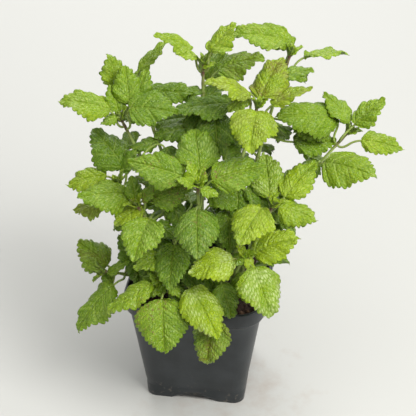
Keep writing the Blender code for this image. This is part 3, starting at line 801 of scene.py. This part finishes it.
# Leaves on the far side of the shoots, with the same columns but no roll. Each is swung and
# tilted, rolled and cut shorter by cycles of different lengths, so that neighbours lie unlike.
far_leaves = [
    ("a", -2, 42, 140, 85, 10, 29, 23, 0.45), ("a", -14, 38, 112, 140, -10, 36, 28, 0.35),
    ("a", 8, 38, 84, 70, -15, 34, 27, 0.30), ("b", 40, 22, 118, 60, -10, 34, 26, 0.35),
    ("b", 14, 20, 92, 120, -15, 32, 25, 0.25), ("c", 50, 50, 140, 54, -5, 27, 22, 0.50),
    ("c", 36, 44, 112, 25, -15, 34, 27, 0.38), ("c", 22, 34, 72, 110, -20, 34, 27, 0.28),
    ("d", 70, 40, 84, 80, -10, 32, 25, 0.42), ("d", 46, 28, 52, 60, -20, 34, 26, 0.30),
    ("e", 52, 6, 52, 40, -15, 30, 23, 0.35), ("e", 42, 8, 28, 80, -20, 30, 23, 0.25),
    ("p", -42, 44, 104, 170, -10, 34, 26, 0.42), ("p", -34, 44, 66, 130, -20, 34, 26, 0.32),
    ("p", -14, 42, 38, 90, -25, 32, 25, 0.25), ("o", -50, 22, 96, 150, -10, 32, 25, 0.40),
    ("o", -38, 24, 60, 130, -20, 34, 26, 0.30), ("h", -46, 12, 50, 160, -20, 32, 25, 0.35),
    ("h", -36, 10, 26, 140, -20, 28, 22, 0.28), ("a", 4, 34, 46, 60, -20, 32, 25, 0.22),
    ("f", 14, -14, 62, 40, -20, 30, 24, 0.22), ("m", 40, -20, 30, 20, -15, 28, 22, 0.35),
    ("p", -30, 38, 50, 110, -10, 32, 25, 0.30), ("p", -22, 36, 22, 80, 10, 30, 24, 0.28),
    ("a", -4, 40, 60, 95, 0, 31, 25, 0.32), ("a", 6, 36, 24, 70, 15, 30, 24, 0.25),
    ("c", 16, 38, 48, 80, 0, 34, 26, 0.32), ("c", 26, 42, 92, 60, -5, 34, 27, 0.38),
    ("d", 36, 30, 32, 45, 5, 32, 25, 0.30), ("d", 58, 34, 66, 100, 0, 32, 25, 0.36),
    ("o", -44, 26, 78, 150, 0, 32, 25, 0.36), ("o", -30, 28, 36, 120, 5, 32, 25, 0.28),
    ("h", -42, 16, 34, 175, 0, 30, 24, 0.30), ("b", 26, 30, 100, 90, 0, 32, 25, 0.35),
    ("e", 50, 16, 62, 60, 0, 30, 23, 0.36), ("e", 36, 18, 38, 70, 5, 30, 23, 0.28),
]
swings, tilts = (-18, 14, 24, -8, -26, 6, 20, -14), (12, -18, 2, -26, 16, -8, -32)
rolls, cuts = (18, -22, 8, -30, 24, -12), (0, 1, 2, 3)
for number, (shoot, x, y, z, azimuth, pitch, length, width, light_and_age) in enumerate(far_leaves):
    small_leaves.append((shoot, x, y, z, azimuth + swings[number % len(swings)],
                         pitch + tilts[number % len(tilts)], rolls[number % len(rolls)],
                         length - cuts[number % len(cuts)], width, light_and_age))


def bent_stalk(start, away, way, end):
    """A leaf stalk: a Bezier curve of third degree that leaves the stem square to it and comes
    into the blade along the midrib."""
    reach = np.linalg.norm(end - start)
    t = np.linspace(0, 1, 20)[:, None]
    u = 1 - t
    return (start * u ** 3 + (start + away * reach * 0.35) * 3 * t * u * u
            + (end - way * reach * 0.35) * 3 * t * t * u + end * t ** 3)


def arc_rib(base, chord, up, length, droop):
    """The midrib of a free leaf: an arc that starts above its chord's direction and ends below
    it. Returns a function of the share of its length."""
    knots = np.linspace(0, 1, 9)
    angle = droop * (0.5 - (knots[:-1] + 0.0625))
    steps = chord * np.cos(angle)[:, None] + up * np.sin(angle)[:, None]
    line = base + np.vstack([[0, 0, 0], np.cumsum(steps, axis=0)]) * length / 8
    return lambda at: smooth_curve(knots, line, at)


grown_on = {shoot: [] for shoot in shoots}
droop, leaflet_droop = math.radians(30), math.radians(35)
for number, (shoot, x, y, z, azimuth, pitch, roll, length, width, light_and_age) in enumerate(small_leaves):
    base = pot_middle + np.array([x, y, z]) / 1000 + [0, 0, soil_z]
    a, p, r = np.radians([azimuth, pitch, roll])
    chord = np.array([math.cos(p) * math.cos(a), math.cos(p) * math.sin(a), math.sin(p)])
    left = np.array([-math.sin(a), math.cos(a), 0.0])
    side = left * math.cos(r) + np.cross(chord, left) * math.sin(r)
    path = stem_path[shoot]
    gap = np.linalg.norm(path - base - [0, 0, -0.004], axis=1)
    start = path[gap.argmin()]
    joints_on[shoot].append(start)
    up = np.cross(chord, side)
    way = chord * math.cos(droop / 2) + up * math.sin(droop / 2)
    root = bent_stalk(start, unit(base - start + np.array([0, 0, 0.002])), way, base)
    rib = arc_rib(base, chord, up, length / 1000, droop)
    young = np.clip((light_and_age - 0.5) * 2, 0, 1)
    grown_on[shoot].append(grow_leaf(rib, side, length / 1000, width / 2000, root, 300 + number, light_and_age,
                                     gloss=light_and_age * 0.6, rows=77, columns=31, young=young,
                                     stalk=0.00045 + 0.00001 * length))

# Leaflets of a tip, outermost pair first: length and width in millimetres, lean in degrees
leaflets = ((11, 7.5, 42), (7, 4.6, 26), (4.5, 2.8, 14))
pair_gap, reach_out = 0.0012, 0.0012
for number, shoot in enumerate(shoots):
    path = stem_path[shoot]
    tip, way = path[-1], unit(path[-1] - path[-6])
    draw = np.random.default_rng(50 + number)
    across = unit(np.cross(way, [0.3, 1.0, 0.1]))
    for pair, (length, width, lean) in enumerate(leaflets):
        turn = math.radians(90 * pair + draw.uniform(-20, 20) + 40)
        outward = across * math.cos(turn) + np.cross(way, across) * math.sin(turn)
        for out in (outward, -outward):
            lean_now = math.radians(lean + draw.uniform(-6, 6))
            chord = way * math.cos(lean_now) + out * math.sin(lean_now)
            side = unit(np.cross(out, way))
            up = np.cross(chord, side)
            if up @ way < 0:
                side, up = -side, -up
            foot = tip - way * pair_gap * (2 - pair)
            base = foot + chord * reach_out
            rib = arc_rib(base, chord, up, length / 1000, leaflet_droop)
            root = np.linspace(foot, base, 5)
            grown_on[shoot].append(grow_leaf(rib, side, length / 1000, width / 2000, root,
                                             500 + number * 10 + pair, 0.66 + 0.05 * pair,
                                             gloss=0.5, fold=0.75, curl=0.5, rows=41, columns=13,
                                             young=0.8, stalk=0.0004))
    tuft = joined_leaves("small_leaves_" + shoot, grown_on[shoot])
    tuft.data.materials.append(leaf_skin)
    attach(tuft, "root")

# ---------------------------------------------------------------------------------------------
# Stems: soft four-sided shoots of the mint family, green below and flushed purple-brown near
# the tips and at each joint. Each grows from the soil along the line of its solid, tapers, and
# swells a little at every pair of leaves.
# ---------------------------------------------------------------------------------------------
stem_radius, stem_taper = 0.0015, 0.42
joint_reach, joint_swell = 0.0022, 0.22
stem_sides, stem_ridge = 20, 0.10
flush_from = 0.86                    # share of the shoot's length

stem_skin, shader, tree = start_material("stem_skin")
streak = cloudy(160.0, 4.0)
green = colour_mix(streak, (0.26, 0.38, 0.06), (0.46, 0.56, 0.17))
purple = colour_mix(streak, (0.085, 0.040, 0.030), (0.17, 0.085, 0.055))
flushed = arithmetic("ADD", reading("flush"), arithmetic(
    "MULTIPLY", arithmetic("SUBTRACT", streak, 0.5), 0.5), clamp=True)
feed(shader.inputs["Base Color"], colour_mix(flushed, green, purple))
shader.inputs["Roughness"].default_value = 0.48
relief(streak, 0.3, 0.0003)

for shoot in shoots:
    path = stem_path[shoot]
    share = np.linspace(0, 1, len(path))
    radius = stem_radius * (1 - stem_taper * np.linspace(hidden_start / stem_length[shoot], 1, len(path)))
    apart = np.linalg.norm(path[:, None] - np.array(joints_on[shoot])[None], axis=2).min(1)
    near = np.exp(-(apart / joint_reach) ** 2)
    skin = tube(path, radius * (1 + joint_swell * near), stem_sides, lobes=stem_ridge)
    flush = np.clip(np.clip((share - flush_from) * 6.0, 0, 1) + 0.35 * near, 0, 1)
    stem = new_piece("stem_" + shoot + "_skin", skin.reshape(-1, 3), ring_quads(len(path), stem_sides),
                     end_caps(len(path), stem_sides), {"flush": np.repeat(flush, stem_sides)})
    stem.data.materials.append(stem_skin)
    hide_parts("stem_" + shoot)
    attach(stem, "root")

# ---------------------------------------------------------------------------------------------
# Floor, light and camera: a pale warm floor that runs far back, a wide soft ceiling light, a
# window light from the upper right, a weak light behind and a bright room.
# ---------------------------------------------------------------------------------------------
a, b = np.meshgrid(np.linspace(-4, 4, 3), np.linspace(-3, 8, 3), indexing="ij")
points = np.stack([a, b, np.zeros_like(a)], -1).reshape(-1, 3)
quads = [[0, 3, 4, 1], [1, 4, 5, 2], [3, 6, 7, 4], [4, 7, 8, 5]]
floor = new_piece("floor", points, np.array(quads))
floor_white, shader, tree = start_material("floor_white")
place, apart = tree.nodes.new("ShaderNodeTexCoord"), tree.nodes.new("ShaderNodeVectorMath")
apart.operation = "DISTANCE"
apart.inputs[1].default_value = (pot_middle[0] + 0.02, pot_middle[1] - 0.02, 0.0)
feed(apart.inputs[0], place.outputs["Object"])
near_pot = spread(apart.outputs["Value"], 0.02, 0.20, 1.0, 0.0)
stain = arithmetic("MULTIPLY", cloudy(45.0, 6.0, 0.65), near_pot)
feed(shader.inputs["Base Color"], ramp(stain, (0.40, (0.580, 0.580, 0.553)), (0.72, (0.50, 0.455, 0.41))))
shader.inputs["Roughness"].default_value = 0.7
floor.data.materials.append(floor_white)

room = bpy.data.worlds.new("room")
bpy.context.scene.world = room
room.use_nodes = True
room.node_tree.nodes["Background"].inputs["Color"].default_value = (1.0, 1.0, 0.98, 1)
room.node_tree.nodes["Background"].inputs["Strength"].default_value = 0.36


def aimed(name, data, place, target):
    """Puts a lamp or camera in place and aims its -Z axis at the target: up from straight down
    by the way's slope, then round by its azimuth, so that it stays level sideways."""
    holder = bpy.data.objects.new(name, data)
    holder.location = place
    way = np.array(target) - np.array(place)
    slope = math.atan2(math.hypot(way[0], way[1]), -way[2])
    holder.rotation_euler = (slope, 0, math.atan2(-way[0], way[1]))
    bpy.context.scene.collection.objects.link(holder)
    return holder


def window(name, place, target, size, power, colour):
    """A flat oblong lamp, size metres wide and high, aimed at the target."""
    lamp = bpy.data.lights.new(name, "AREA")
    lamp.shape = "RECTANGLE"
    lamp.size, lamp.size_y = size
    lamp.energy, lamp.color = power, colour
    aimed(name, lamp, place, target)


window("ceiling_light", (0.3, -0.4, 2.0), (0.0, 0.0, 0.1), (2.6, 2.2), 22.0, (1.0, 1.0, 0.99))
window("window_light", (1.0, -0.70, 1.35), (0.0, 0.0, 0.12), (0.9, 0.9), 25.0, (1.0, 0.99, 0.97))
window("back_light", (-0.3, 1.25, 1.0), (-0.1, 0.6, 0.0), (1.3, 0.7), 12.0, (1.0, 1.0, 1.0))

view = bpy.data.cameras.new("camera")
view.lens, view.sensor_width = 105.9, 36.0
bpy.context.scene.camera = aimed("camera", view, pot_middle + (0.1110, -0.7026, 0.6102),
                                 pot_middle + (0.00465, 0.0007, 0.1448))
bpy.context.scene.view_settings.view_transform = "Standard"
